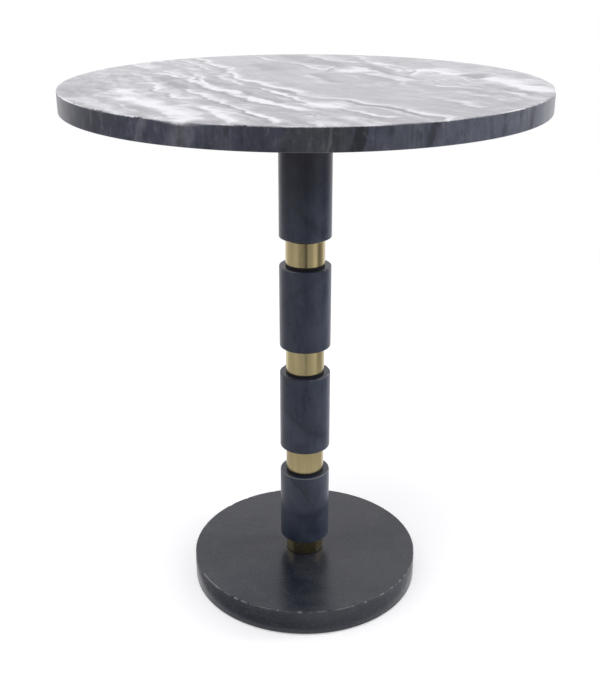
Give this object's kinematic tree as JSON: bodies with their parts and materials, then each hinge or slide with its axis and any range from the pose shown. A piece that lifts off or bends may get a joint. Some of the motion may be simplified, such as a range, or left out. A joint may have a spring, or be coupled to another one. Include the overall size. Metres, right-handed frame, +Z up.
{
  "type": "wine table",
  "caption": "Small round pedestal side table: a veined marble top on a column of stone cylinders and brass spacers, clamped to a round stone base.",
  "frame": {"origin": "on the floor, under the column's axis", "axes": "+Z up along the column, X and Y level; the table is round, so X and Y are free"},
  "size_m": [0.4499, 0.45, 0.5305],
  "materials": {
    "top_marble": "polished",
    "column_marble": "honed",
    "base_stone": "honed",
    "satin_brass": "satin",
    "black_nylon": "matte",
    "black_steel": "matte",
    "zinc_steel": "zinc plated",
    "insert_brass": "turned",
    "gasket_rubber": "matte",
    "foot_rubber": "matte"
  },
  "bodies": {
    "root": {"base_disc": "base_stone", "base_feet": "foot_rubber", "base_gasket": "gasket_rubber", "clamp_washer": "zinc_steel", "column_sleeve_1": "column_marble", "column_sleeve_2": "column_marble", "column_sleeve_3": "column_marble", "column_sleeve_4": "column_marble", "plate_boss": "black_steel", "plate_gasket": "gasket_rubber", "plate_inserts": "insert_brass", "plate_screws": "zinc_steel", "rod_nut": "zinc_steel", "spacer_bush_lower_1": "black_nylon", "spacer_bush_lower_2": "black_nylon", "spacer_bush_lower_3": "black_nylon", "spacer_bush_lower_4": "black_nylon", "spacer_bush_upper_1": "black_nylon", "spacer_bush_upper_2": "black_nylon", "spacer_bush_upper_3": "black_nylon", "spacer_bush_upper_4": "black_nylon", "spacer_tube_1": "satin_brass", "spacer_tube_2": "satin_brass", "spacer_tube_3": "satin_brass", "spacer_tube_4": "satin_brass", "spring_washer": "zinc_steel", "table_top": "top_marble", "tie_rod": "zinc_steel", "top_plate": "black_steel"}
  },
  "joints": []
}
